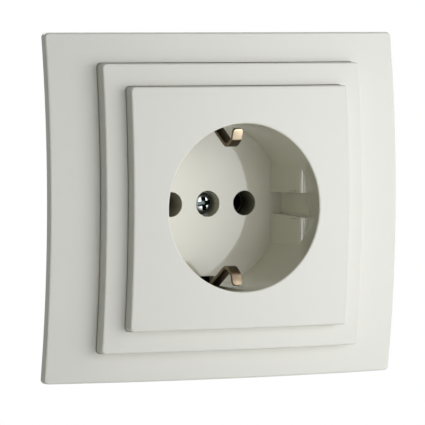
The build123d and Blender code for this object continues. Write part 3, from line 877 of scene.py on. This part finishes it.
class FastenerTree(GeometryCanvas):
    """Turned screws and rivets: one closed profile of revolution with a helical thread and a recess."""

    COLUMNS = 48
    HEAD_ROWS = 14
    END_ROWS = 2
    THREAD_FADE = 0.06
    TAPER = 0.62
    OVERCUT = 0.25
    MERGE = 0.001 * MM
    SEED = 7

    def __init__(self, form: FastenerForm) -> None:
        """Draw the tree for one form.

        Args:
            form: The recess, and the sizes that the inputs start from.
        """
        turns = {"Facing": 0.0, "Turn": 0.0, "Turn Spread": 0.0}
        super().__init__("turned_fastener", form.inputs() | turns)
        body = self.body()
        if form.recess is not Recess.NONE:
            body = self.cut(body, self.cutters(form.recess))
        self.end(self.place(body))

    def body(self) -> Signal:
        """The head, its underside, the threaded shank and the flat end, as one surface.

        Returns:
            A closed mesh along Y, with the underside of its head at zero and the head towards -Y.
        """
        shank_rows = self.size("Shank Rows")
        rows = shank_rows + (self.HEAD_ROWS + 1 + self.END_ROWS)
        grid = self.add(
            "GeometryNodeMeshGrid",
            {},
            {"Size X": 1.0, "Size Y": 1.0, "Vertices X": self.COLUMNS + 1, "Vertices Y": rows + 1},
        )
        apart = self.apart(self.add("GeometryNodeInputPosition"))
        turn = apart + 0.5
        row = (apart.other("Y") + 0.5) * rows

        under = self.HEAD_ROWS + 1.0
        shank_end = shank_rows + under
        crown = self.ramp(row, 0.0, float(self.HEAD_ROWS)) * (pi / 2)
        power = 2 / self.size("Crown")
        ledge = self.ramp(row, float(self.HEAD_ROWS), under)
        along = self.ramp(row, under, shank_end)
        close = self.ramp(row, shank_end, rows)

        head_radius = self.size("Head Radius")
        shank_radius = self.size("Shank Radius")
        sine = crown.math("MAXIMUM", crown.math("SINE", crown), 0.0)
        cosine = crown.math("MAXIMUM", crown.math("COSINE", crown), 0.0)
        depth = self.size("Length") * along - self.size("Head Height") * cosine**power
        phase = depth / self.size("Pitch") + turn
        wave = 2 * phase.math("PINGPONG", phase, 0.5)
        runout = 1 - self.ramp(along, 1 - self.THREAD_FADE, 1.0)
        fade = self.ramp(along, 0.0, self.THREAD_FADE) * runout
        radius = head_radius * sine**power - (head_radius - shank_radius) * ledge - shank_radius * close
        radius = radius - self.size("Thread Depth") * wave * fade

        angle = turn * (2 * pi)
        across = radius * angle.math("COSINE", angle)
        up = radius * angle.math("SINE", angle)
        spun = self.add("ShaderNodeCombineXYZ", {}, {"X": across, "Y": depth, "Z": up})
        turned = self.add("GeometryNodeSetPosition", {}, {"Geometry": grid, "Position": spun})
        whole = self.add("GeometryNodeMergeByDistance", {}, {"Geometry": turned, "Distance": self.MERGE})
        return self.add("GeometryNodeFlipFaces", {}, {"Mesh": whole})

    def cutters(self, recess: Recess) -> list[Signal]:
        """The tapered wings of a cross, or the one blade of a slot.

        Args:
            recess: The kind of hole.

        Returns:
            The meshes to take out of the head.
        """
        span = self.size("Recess Span")
        width = self.size("Recess Width")
        if recess is Recess.SLOT:
            return [self.wing(span, width)]
        return [self.wing(span, width), self.wing(width, span)]

    def wing(self, across: Signal, up: Signal) -> Signal:
        """A rectangular taper that opens at the top of the head.

        Args:
            across: Its size along X at the wide end.
            up: Its size along Z at the wide end.

        Returns:
            The taper's mesh.
        """
        depth = self.size("Recess Depth")
        margin = self.OVERCUT * depth
        cone = self.add(
            "GeometryNodeMeshCone",
            {},
            {"Vertices": 4, "Radius Top": self.TAPER, "Radius Bottom": 1.0, "Depth": depth + margin},
            "Mesh",
        )
        squared = self.add("GeometryNodeTransform", {}, {"Geometry": cone, "Rotation": (0.0, 0.0, pi / 4)})
        half_root = 0.5**0.5
        stretch = {"X": across * half_root, "Y": up * half_root, "Z": 1.0}
        scale = self.add("ShaderNodeCombineXYZ", {}, stretch)
        sized = self.add("GeometryNodeTransform", {}, {"Geometry": squared, "Scale": scale})
        top = self.add("ShaderNodeCombineXYZ", {}, {"Y": -1 * self.size("Head Height") - margin})
        move = {"Geometry": sized, "Translation": top, "Rotation": (-pi / 2, 0.0, 0.0)}
        return self.add("GeometryNodeTransform", {}, move)

    def cut(self, body: Signal, cutters: list[Signal]) -> Signal:
        """The body with the recess taken out."""
        settings = {"operation": "DIFFERENCE", "solver": "EXACT"}
        return self.add("GeometryNodeMeshBoolean", settings, {"Mesh 1": body, "Mesh 2": cutters}, "Mesh")

    def place(self, body: Signal) -> Signal:
        """The body at every point that comes in, each turned a little differently.

        Args:
            body: One fastener.

        Returns:
            An instance at each point.
        """
        most = self.size("Turn Spread")
        limits = {"Min": -1 * most, "Max": most, "Seed": self.SEED}
        turn = self.size("Turn") + self.add("FunctionNodeRandomValue", {"data_type": "FLOAT"}, limits)
        rotation = self.add("ShaderNodeCombineXYZ", {}, {"Y": turn, "Z": self.size("Facing")})
        inputs = {"Points": self.size("Geometry"), "Instance": body, "Rotation": rotation}
        return self.add("GeometryNodeInstanceOnPoints", {}, inputs)


def point_mesh(name: str, places: Sequence[Place]) -> bpy.types.Mesh:
    """A mesh of loose points for a tree to work on.

    Args:
        name: The mesh's name.
        places: Where the points are.

    Returns:
        The new mesh.
    """
    mesh = bpy.data.meshes.new(name)
    mesh.from_pydata(places, [], [])
    return mesh


@dataclass
class FastenerSet:
    """Fasteners of one form that stand for solids, at given places or in the solids' middles."""

    name: str
    nodes: tuple[str, ...]
    finish: Finish
    form: FastenerForm
    seat: float
    facing: Facing
    places: list[tuple[float, float]] = field(default_factory=list)
    turn: float = 0.0
    turn_spread: float = 0.0

    def build(self) -> bpy.types.Object:
        """Make the fasteners where their solids are.

        Returns:
            The piece, which rides with its solids.
        """
        centres = self.places or [self._centre(node) for node in self.nodes]
        seeds = point_mesh(self.name, [(x, self.seat, z) for x, z in centres])
        sizes = self.form.inputs()
        sizes["Facing"] = self.facing.value
        sizes["Turn"] = self.turn
        sizes["Turn Spread"] = self.turn_spread
        piece = FastenerTree(self.form).run(self.name, seeds, self.finish.material(), sizes)
        smooth(piece)
        Home.of(self.nodes[0]).settle(piece, *self.nodes)
        return piece

    @staticmethod
    def _centre(node: str) -> tuple[float, float]:
        """The middle of a solid in front view."""
        low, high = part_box(node)
        return ((low[0] + high[0]) / 2, (low[2] + high[2]) / 2)


@dataclass
class Fasteners:
    """Cover screw, claw screws, terminal screws and rivets."""

    palette: Palette
    cover_head: float = 2.1 * MM
    claw_head: float = 2.0 * MM
    terminal_head: float = 2.4 * MM
    rivet_head: float = 1.0 * MM
    rivet_radius: float = 1.8 * MM
    pan_crown: float = 3.2
    cheese_crown: float = 7.0
    cover_turn: float = radians(-8)
    claw_spread: float = 0.7
    terminal_spread: float = 1.2

    def build(self) -> None:
        """Make every set of fasteners."""
        for fasteners in (self.cover_screw(), self.claw_screws(), self.terminal_screws(), self.rivets()):
            fasteners.build()

    def cover_screw(self) -> FastenerSet:
        """The pan-head screw in the well.

        Returns:
            The set, ready to build.
        """
        nodes = ("cover_screw",)
        low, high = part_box(nodes[0])
        seat = low[1] + self.cover_head
        form = FastenerForm(
            head_radius=(high[0] - low[0]) / 2,
            head_height=self.cover_head,
            crown=self.pan_crown,
            shank_radius=1.5 * MM,
            length=high[1] - seat,
            recess=Recess.CROSS,
            recess_span=3.6 * MM,
            recess_width=1.2 * MM,
            recess_depth=1.8 * MM,
            thread_depth=0.3 * MM,
        )
        return FastenerSet(
            "cover_screw_turned",
            nodes,
            self.palette.screw,
            form,
            seat,
            Facing.FRONT,
            turn=self.cover_turn,
        )

    def claw_screws(self) -> FastenerSet:
        """The two screws that push the claws out.

        Returns:
            The set, ready to build.
        """
        nodes = ("left_claw_screw", "right_claw_screw")
        low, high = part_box(nodes[0])
        seat = low[1] + self.claw_head
        form = FastenerForm(
            head_radius=(high[0] - low[0]) / 2,
            head_height=self.claw_head,
            crown=self.pan_crown,
            shank_radius=1.5 * MM,
            length=high[1] - seat,
            recess=Recess.CROSS,
            recess_span=3.1 * MM,
            recess_width=1.1 * MM,
            recess_depth=1.2 * MM,
            thread_depth=0.3 * MM,
        )
        return FastenerSet(
            "claw_screws_turned",
            nodes,
            self.palette.zinc,
            form,
            seat,
            Facing.FRONT,
            turn_spread=self.claw_spread,
        )

    def terminal_screws(self) -> FastenerSet:
        """The three slotted screws on the back of the base.

        Returns:
            The set, ready to build.
        """
        nodes = ("live_terminal_screw", "neutral_terminal_screw", "earth_terminal_screw")
        low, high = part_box(nodes[0])
        seat = high[1] - self.terminal_head
        form = FastenerForm(
            head_radius=(high[0] - low[0]) / 2,
            head_height=self.terminal_head,
            crown=self.cheese_crown,
            shank_radius=1.75 * MM,
            length=seat - low[1],
            recess=Recess.SLOT,
            recess_span=7.0 * MM,
            recess_width=1.24 * MM,
            recess_depth=1.2 * MM,
            thread_depth=0.35 * MM,
            pitch=0.6 * MM,
        )
        return FastenerSet(
            "terminal_screws_turned",
            nodes,
            self.palette.zinc,
            form,
            seat,
            Facing.REAR,
            turn_spread=self.terminal_spread,
        )

    def rivets(self) -> FastenerSet:
        """The four rivets that hold the ring to the base.

        Returns:
            The set, ready to build.
        """
        nodes = ("ring_rivets",)
        low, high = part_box(nodes[0])
        seat = low[1] + self.rivet_head
        form = FastenerForm(
            head_radius=self.rivet_radius,
            head_height=self.rivet_head,
            crown=2.0,
            shank_radius=1.0 * MM,
            length=high[1] - seat,
        )
        ends_x = (low[0] + self.rivet_radius, high[0] - self.rivet_radius)
        ends_z = (low[2] + self.rivet_radius, high[2] - self.rivet_radius)
        return FastenerSet(
            "ring_rivets_turned",
            nodes,
            self.palette.zinc,
            form,
            seat,
            Facing.FRONT,
            places=[(x, z) for x in ends_x for z in ends_z],
        )


@dataclass
class FrontMouldings:
    """Frame, bezel and cover."""

    palette: Palette

    def build(self) -> None:
        """Dress the three white mouldings."""
        dress(self.palette.white, "outer_frame", "middle_bezel")
        dress(self.palette.white_well, "socket_cover")


@dataclass
class EarthBridge:
    """The strip with both earth clips: dark by painted shade, and brighter by painted sheen on its sides
    and its two tips, whose fronts plugs also wear.
    """

    palette: Palette
    edge: float = 0.08 * MM
    tip_reach: float = 15.35 * MM
    facing: float = 0.8
    # Painted sheen: the upper tip's front brighter than the lower one's, and the sides half bright.
    upper_tip_painted_sheen: float = 1.0
    lower_tip_painted_sheen: float = 0.39
    side_painted_sheen: float = 0.45

    def build(self) -> None:
        """Break the strip's edges and store how bright each face is, from plug wear and painted sheen."""
        bridge = SoftEdged("earth_bridge", self.palette.bronze, self.edge).build()
        sheen_layer = bridge.data.attributes.new(RUB_AND_PAINTED_SHEEN, "FLOAT", "FACE")
        for face in bridge.data.polygons:
            sheen_layer.data[face.index].value = self.rubbed(face)

    def rubbed(self, face: bpy.types.MeshPolygon) -> float:
        """How bright a face of the strip is, by which way it faces: painted sheen, most on the fronts of
        the tips, where plugs also wear it, and some on the sides.

        Args:
            face: A face of the strip.

        Returns:
            Zero for the dark colour, which is painted shade, up to one for bare metal.
        """
        # Brightness by which way a face looks: painted sheen.
        at_tip = abs(face.center.z) > self.tip_reach
        if at_tip and face.normal.y < -self.facing:
            return self.upper_tip_painted_sheen if face.center.z > 0 else self.lower_tip_painted_sheen
        if abs(face.normal.x) > self.facing:
            return self.side_painted_sheen
        return 0.0


@dataclass
class Insert:
    """What stands in the wall box: base, ring, bush, contacts, clamp plates, claws and their pins."""

    palette: Palette
    base_edge: float = 0.15 * MM
    ring_edge: float = 0.12 * MM
    contact_edge: float = 0.08 * MM
    pin_edge: float = 0.15 * MM

    def build(self) -> None:
        """Break the edges of the insert's solids and dress them."""
        palette = self.palette
        SoftEdged("contact_base", palette.base, self.base_edge).build()
        SoftEdged("support_ring", palette.zinc, self.ring_edge).build()
        SoftEdged("cover_screw_bush", palette.brass).build()
        for pole in ("live", "neutral"):
            SoftEdged(f"{pole}_contact", palette.contact, self.contact_edge).build()
        for pole in ("live", "neutral", "earth"):
            SoftEdged(f"{pole}_clamp_plate", palette.zinc).build()
        for side in ("left", "right"):
            SoftEdged(f"{side}_claw", palette.zinc).build()
            SoftEdged(f"{side}_claw_pin", palette.zinc, self.pin_edge).build()


@dataclass
class PhotoCamera:
    """The photograph's view: from the left of the socket and a little above it."""

    yaw: float = radians(27.086)
    elevation: float = radians(3.08)
    roll: float = radians(0.265)
    distance: float = 946.1 * MM
    focal_pixels: float = 4157.0
    frame_pixels: float = 425.0
    crest_pixel: tuple[float, float] = (246.8, 208.05)
    crest: Place = (0.0, -15.35 * MM, 0.0)
    sensor: float = 36.0
    nearest: float = 10 * MM

    def build(self) -> None:
        """Place the camera and make it the scene's own."""
        flat = cos(self.elevation)
        forward = Vector((sin(self.yaw) * flat, cos(self.yaw) * flat, -sin(self.elevation)))
        right = forward.cross(Vector((0, 0, 1))).normalized()
        up = right.cross(forward)
        level = Matrix.Rotation(self.roll, 3, -forward)
        right = level @ right
        up = level @ up
        place = Vector(self.crest) - self.distance * forward

        scale = self.distance / self.focal_pixels
        middle = self.frame_pixels / 2
        aim = Vector(self.crest)
        aim -= (self.crest_pixel[0] - middle) * scale * right
        aim -= (middle - self.crest_pixel[1]) * scale * up

        back = (place - aim).normalized()
        side = up.cross(back).normalized()
        turn = Matrix((side, back.cross(side), back)).transposed().to_4x4()
        data = bpy.data.cameras.new("photo_camera")
        data.sensor_width = self.sensor
        data.lens = self.sensor * self.focal_pixels / self.frame_pixels
        data.clip_start = self.nearest
        camera = bpy.data.objects.new("photo_camera", data)
        camera.matrix_world = Matrix.Translation(place) @ turn
        bpy.context.scene.collection.objects.link(camera)
        bpy.context.scene.camera = camera


@dataclass(frozen=True)
class Softbox:
    """A rectangular studio lamp that looks at the socket. An only mirrored one shows in gloss alone."""

    name: str
    place: Place
    width: float
    height: float
    power: float
    colour: Colour = (0.985, 1.0, 1.06)
    only_mirrored: bool = False

    def hang(self) -> None:
        """Hang the lamp, out of the camera's sight."""
        light = bpy.data.lights.new(self.name, "AREA")
        light.shape = "RECTANGLE"
        light.size = self.width
        light.size_y = self.height
        light.energy = self.power
        light.color = self.colour
        lamp = bpy.data.objects.new(self.name, light)
        lamp.location = self.place
        lamp.rotation_euler = Vector(self.place).to_track_quat("Z", "Y").to_euler()
        lamp.visible_camera = False
        lamp.visible_diffuse = not self.only_mirrored
        bpy.context.scene.collection.objects.link(lamp)


@dataclass
class Studio:
    """Floor, lamps and surroundings: lit from the front and the right, and darker on the left."""

    softboxes: tuple[Softbox, ...] = (
        Softbox("front_softbox", (0.148, -0.837, 0.035), 0.3, 0.75, 1.57),
        Softbox("middle_softbox", (0.425, -0.736, 0.035), 0.3, 0.75, 2.02),
        Softbox("right_softbox", (0.651, -0.546, 0.035), 0.3, 0.75, 2.43),
        Softbox("right_strip", (0.847, -0.074, 0.035), 0.15, 0.75, 0.97),
        Softbox("left_strip", (-0.442, -0.405, 0.0), 0.244, 0.5, 1.79, only_mirrored=True),
        Softbox("back_softbox", (0.1, 0.9, 0.3), 0.5, 0.5, 4.0),
    )
    ambient: float = 0.19
    ambient_colour: Colour = (0.95, 1.0, 0.99)
    floor_level: float = -0.3
    floor_radius: float = 0.9
    floor_corners: int = 64
    floor_colour: Colour = (0.82, 0.82, 0.8)
    floor_glow: float = 0.9
    floor_shine: float = 0.35

    def build(self) -> None:
        """Make the stage and light it."""
        bpy.context.scene.view_settings.view_transform = "Standard"
        self.build_world()
        self.build_floor()
        for softbox in self.softboxes:
            softbox.hang()

    def seen(self, canvas: Canvas) -> Signal:
        """One on what the camera, a reflection or a refraction sees.

        Args:
            canvas: The world's tree.

        Returns:
            One for such rays, and zero for others.
        """
        camera = canvas.add("ShaderNodeLightPath", output="Is Camera Ray")
        shiny = camera.math("MAXIMUM", camera.other("Is Glossy Ray"), camera.other("Is Transmission Ray"))
        return camera.math("MAXIMUM", camera, shiny)

    def build_world(self) -> None:
        """White where it is seen, and a weak even light on the socket."""
        world = bpy.data.worlds.new("studio_world")
        world.use_nodes = True
        canvas = Canvas(world.node_tree)
        seen = self.seen(canvas)
        colour = canvas.mix(seen, opaque(self.ambient_colour), opaque(WHITE))
        strength = self.ambient + (1 - self.ambient) * seen
        sky = canvas.add("ShaderNodeBackground", {}, {"Color": colour, "Strength": strength})
        canvas.add("ShaderNodeOutputWorld", {}, {"Surface": sky})
        bpy.context.scene.world = world

    def build_floor(self) -> None:
        """A pale round floor below the socket, outside the photograph's view."""
        steps = range(self.floor_corners)
        angles = [2 * pi * step / self.floor_corners for step in steps]
        reach = self.floor_radius
        mesh = bpy.data.meshes.new("floor")
        points = [(reach * cos(angle), reach * sin(angle), self.floor_level) for angle in angles]
        mesh.from_pydata(points, [], [list(steps)])
        floor = bpy.data.objects.new("floor", mesh)
        bpy.context.scene.collection.objects.link(floor)
        material = bpy.data.materials.new("pale_floor")
        material.use_nodes = True
        canvas = Canvas(material.node_tree)
        matt = canvas.add("ShaderNodeBsdfDiffuse", {}, {"Color": opaque(self.floor_colour)})
        ray = canvas.add("ShaderNodeLightPath", output="Is Camera Ray")
        strength = self.floor_glow * ray + self.floor_shine * ray.other("Is Glossy Ray")
        glow = canvas.add("ShaderNodeEmission", {}, {"Strength": strength})
        both = canvas.add("ShaderNodeAddShader", {}, {0: matt, 1: glow})
        canvas.add("ShaderNodeOutputMaterial", {}, {"Surface": both})
        mesh.materials.append(material)


def main() -> None:
    """Build the socket's looks in order."""
    logging.basicConfig(level=logging.INFO, format="%(name)s: %(message)s")
    palette = Palette()
    FrontMouldings(palette).build()
    EarthBridge(palette).build()
    Insert(palette).build()
    Fasteners(palette).build()
    PhotoCamera().build()
    Studio().build()


if __name__ == "__main__":
    main()
